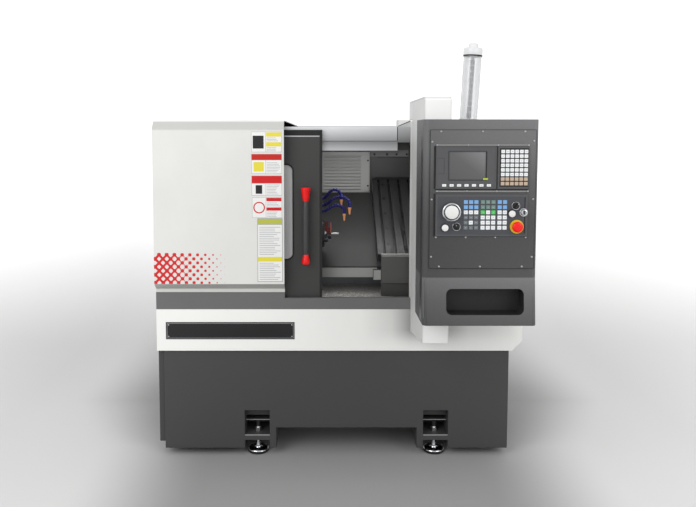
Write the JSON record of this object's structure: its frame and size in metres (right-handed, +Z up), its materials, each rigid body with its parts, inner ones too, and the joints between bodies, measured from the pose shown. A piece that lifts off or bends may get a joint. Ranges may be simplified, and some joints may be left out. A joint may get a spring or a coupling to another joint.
{
  "type": "slant bed turning lathe",
  "caption": "Slant bed turning lathe with a sliding door, chuck spindle, T slot cross slide, coolant hoses, operator pendant on a column and signal lamp.",
  "frame": {"origin": "on the floor below the middle of the machine's bounding box", "axes": "+X to the right along the spindle, +Y to the rear, +Z up"},
  "size_m": [1.727, 1.256, 1.9747],
  "materials": {
    "white_paint": "light texture, satin",
    "light_grey_paint": "satin",
    "dark_paint": "fine texture, matt",
    "mid_grey_paint": "satin",
    "pendant_paint": "speckled texture, matt",
    "guard_paint": "satin",
    "silver_paint": "satin anodised",
    "steel": "brushed",
    "ground_steel": "ground",
    "casting": "machined casting",
    "chrome": "polished",
    "glass": "clear",
    "lens": "translucent white",
    "screen": "gloss",
    "black_plastic": "matt",
    "grey_plastic": "matt",
    "light_plastic": "matt",
    "red_plastic": "semi gloss",
    "red_paint": "satin",
    "hose_plastic": "semi gloss",
    "copper": "satin",
    "rubber": "matt"
  },
  "bodies": {
    "frame": {"base_cabinet": "dark_paint", "base_side_cover": "dark_paint", "levelling_feet": "chrome", "levelling_nuts": "steel", "coolant_tank": "mid_grey_paint", "coolant_pan": "white_paint", "sill_rail": "mid_grey_paint", "chip_tray": "steel", "headstock_cover": "white_paint", "roof_panel": "light_grey_paint", "header_beam": "silver_paint", "right_enclosure": "white_paint", "rear_panel": "white_paint", "column": "white_paint", "pendant_housing": "pendant_paint", "pendant_front_plate": "pendant_paint", "display_unit": "grey_plastic", "display_screen": "screen", "keypad_unit": "grey_plastic", "operator_panel": "grey_plastic", "control_collars": "chrome", "stop_collar_ring": "light_plastic", "lamp_stand": "black_plastic", "lamp_lens": "lens", "lamp_cap": "light_plastic", "bed": "casting", "long_motor": "black_plastic", "way_cover": "guard_paint", "louvre_panel": "guard_paint", "bulkhead": "guard_paint", "headstock": "casting", "spindle_motor": "black_plastic", "drive_belt": "rubber", "coolant_hoses": "hose_plastic", "hose_nozzles": "copper"},
    "door": {"door_panel": "dark_paint", "door_seals": "rubber", "door_window": "glass", "handle_grip": "rubber", "handle_ends": "red_plastic"},
    "spindle": {"spindle": "ground_steel", "chuck": "steel", "bar_stock": "chrome"},
    "jaw_upper": {"jaw_upper": "red_paint"},
    "jaw_front": {"jaw_front": "steel"},
    "jaw_rear": {"jaw_rear": "steel"},
    "motor_pulley": {"motor_pulley": "casting"},
    "carriage": {"saddle": "casting", "saddle_apron": "guard_paint", "cross_motor": "black_plastic"},
    "cross_slide": {"cross_slide": "ground_steel"},
    "long_screw": {"long_screw": "steel"},
    "cross_screw": {"cross_screw_shaft": "steel"},
    "handwheel": {"handwheel": "chrome"},
    "button_left": {"button_left": "light_plastic"},
    "button_right": {"button_right": "light_plastic"},
    "emergency_stop": {"stop_head_red": "red_plastic"},
    "selector_switch": {"selector_switch": "black_plastic"},
    "override_knob": {"override_knob": "black_plastic"},
    "key_switch": {"key_switch": "chrome"}
  },
  "joints": [
    {"name": "door_slide", "type": "slide", "parent": "frame", "child": "door", "axis": [1, 0, 0], "range_m": [0, 0.41]},
    {"name": "spindle_turn", "type": "hinge", "parent": "frame", "child": "spindle", "pos_m": [0, 0.15, 1.054], "axis": [1, 0, 0], "continuous": true},
    {"name": "jaw_upper_slide", "type": "slide", "parent": "spindle", "child": "jaw_upper", "axis": [0, 0, 1], "range_m": [0, 0.004]},
    {"name": "jaw_front_slide", "type": "slide", "parent": "spindle", "child": "jaw_front", "axis": [0, -0.866, -0.5], "range_m": [0, 0.004]},
    {"name": "jaw_rear_slide", "type": "slide", "parent": "spindle", "child": "jaw_rear", "axis": [0, 0.866, -0.5], "range_m": [0, 0.004]},
    {"name": "motor_pulley_turn", "type": "hinge", "parent": "frame", "child": "motor_pulley", "pos_m": [-0.6, 0.43, 1.4], "axis": [1, 0, 0], "continuous": true},
    {"name": "carriage_slide", "type": "slide", "parent": "frame", "child": "carriage", "axis": [1, 0, 0], "range_m": [-0.14, 0.12]},
    {"name": "cross_slide_travel", "type": "slide", "parent": "carriage", "child": "cross_slide", "axis": [0, 0.7986, 0.6018], "range_m": [-0.06, 0]},
    {"name": "long_screw_turn", "type": "hinge", "parent": "frame", "child": "long_screw", "pos_m": [0.3, 0.40401, 0.99887], "axis": [1, 0, 0], "range_deg": [-5041, 4321]},
    {"name": "cross_screw_turn", "type": "hinge", "parent": "carriage", "child": "cross_screw", "pos_m": [0.445, 0.14611, 0.90908], "axis": [0, 0.7986, 0.6018], "range_deg": [-4321, 1]},
    {"name": "handwheel_turn", "type": "hinge", "parent": "frame", "child": "handwheel", "pos_m": [0.409, -0.602, 1.245], "axis": [0, 1, 0], "continuous": true},
    {"name": "button_left_press", "type": "slide", "parent": "frame", "child": "button_left", "axis": [0, 1, 0], "range_m": [0, 0.003], "stiffness_N_per_m": 200},
    {"name": "button_right_press", "type": "slide", "parent": "frame", "child": "button_right", "axis": [0, 1, 0], "range_m": [0, 0.003], "stiffness_N_per_m": 200},
    {"name": "emergency_stop_press", "type": "slide", "parent": "frame", "child": "emergency_stop", "axis": [0, 1, 0], "range_m": [0, 0.004]},
    {"name": "selector_turn", "type": "hinge", "parent": "frame", "child": "selector_switch", "pos_m": [0.43, -0.602, 1.188], "axis": [0, 1, 0], "range_deg": [-45, 45]},
    {"name": "override_turn", "type": "hinge", "parent": "frame", "child": "override_knob", "pos_m": [0.655, -0.602, 1.268], "axis": [0, 1, 0], "range_deg": [0, 270]},
    {"name": "key_turn", "type": "hinge", "parent": "frame", "child": "key_switch", "pos_m": [0.685, -0.602, 1.243], "axis": [0, 1, 0], "range_deg": [0, 90]}
  ],
  "couplings": [
    {"joint": "jaw_front_slide", "follows": "jaw_upper_slide", "ratio": 1},
    {"joint": "jaw_rear_slide", "follows": "jaw_upper_slide", "ratio": 1},
    {"joint": "motor_pulley_turn", "follows": "spindle_turn", "ratio": 1.4545},
    {"joint": "long_screw_turn", "follows": "carriage_slide", "rad_per_m": 628.32},
    {"joint": "cross_screw_turn", "follows": "cross_slide_travel", "rad_per_m": 1256.6}
  ]
}
